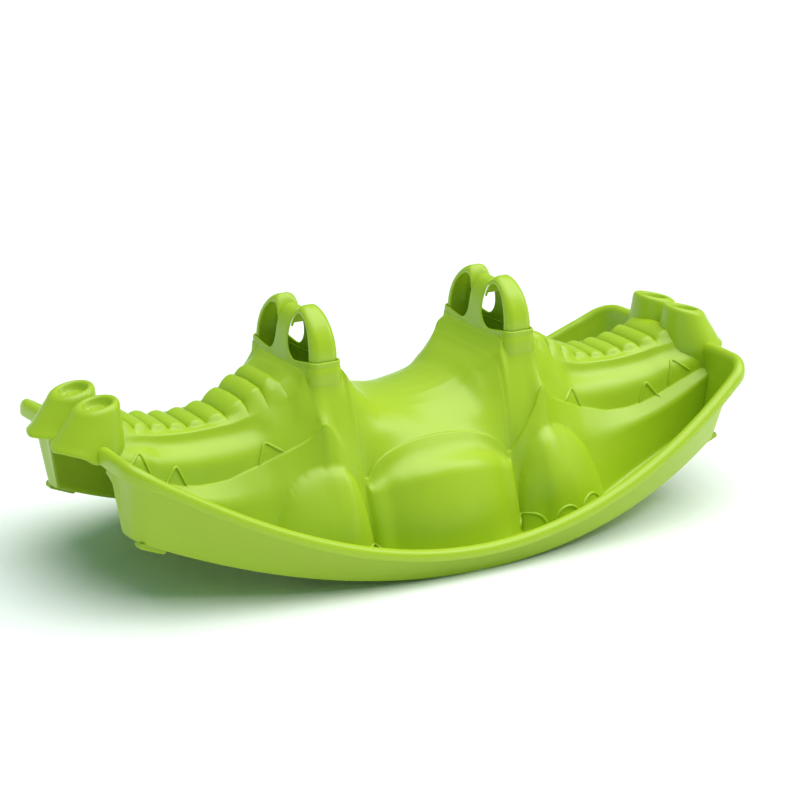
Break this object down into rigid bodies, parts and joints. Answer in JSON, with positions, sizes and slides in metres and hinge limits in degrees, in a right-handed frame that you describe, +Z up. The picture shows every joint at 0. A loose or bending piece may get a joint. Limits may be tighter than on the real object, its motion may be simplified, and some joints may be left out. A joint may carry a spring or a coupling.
{
  "type": "two-rider rocking seesaw",
  "caption": "Crocodile-shaped rocking seesaw for two toddlers: one moulded shell on two curved runners, with ribbed snouts to sit on, eye hoops to hold, foot troughs and end stops.",
  "frame": {"origin": "on the floor under the middle of the runners, where the rocker touches the floor at rest", "axes": "+X along the length from one snout to the other, +Y across, +Z up"},
  "size_m": [1.03, 0.487, 0.33],
  "materials": {
    "lime_polypropylene": "satin moulded, fine grain",
    "hoop_polypropylene": "satin moulded, smoother",
    "stop_rubber": "matt soft polymer",
    "zinc_steel": "zinc plated"
  },
  "bodies": {
    "root": {"body_trough_left_front": "lime_polypropylene", "body_trough_left_rear": "lime_polypropylene", "body_trough_right_front": "lime_polypropylene", "body_trough_right_rear": "lime_polypropylene", "body_snout_left": "lime_polypropylene", "body_snout_right": "lime_polypropylene", "body_neck_left": "lime_polypropylene", "body_neck_right": "lime_polypropylene", "body_back": "lime_polypropylene", "eye_hoops_left": "hoop_polypropylene", "eye_hoops_right": "hoop_polypropylene", "hoop_screws_left": "zinc_steel", "hoop_screws_right": "zinc_steel", "end_stop_left_front": "stop_rubber", "end_stop_left_rear": "stop_rubber", "end_stop_right_front": "stop_rubber", "end_stop_right_rear": "stop_rubber"}
  },
  "joints": []
}
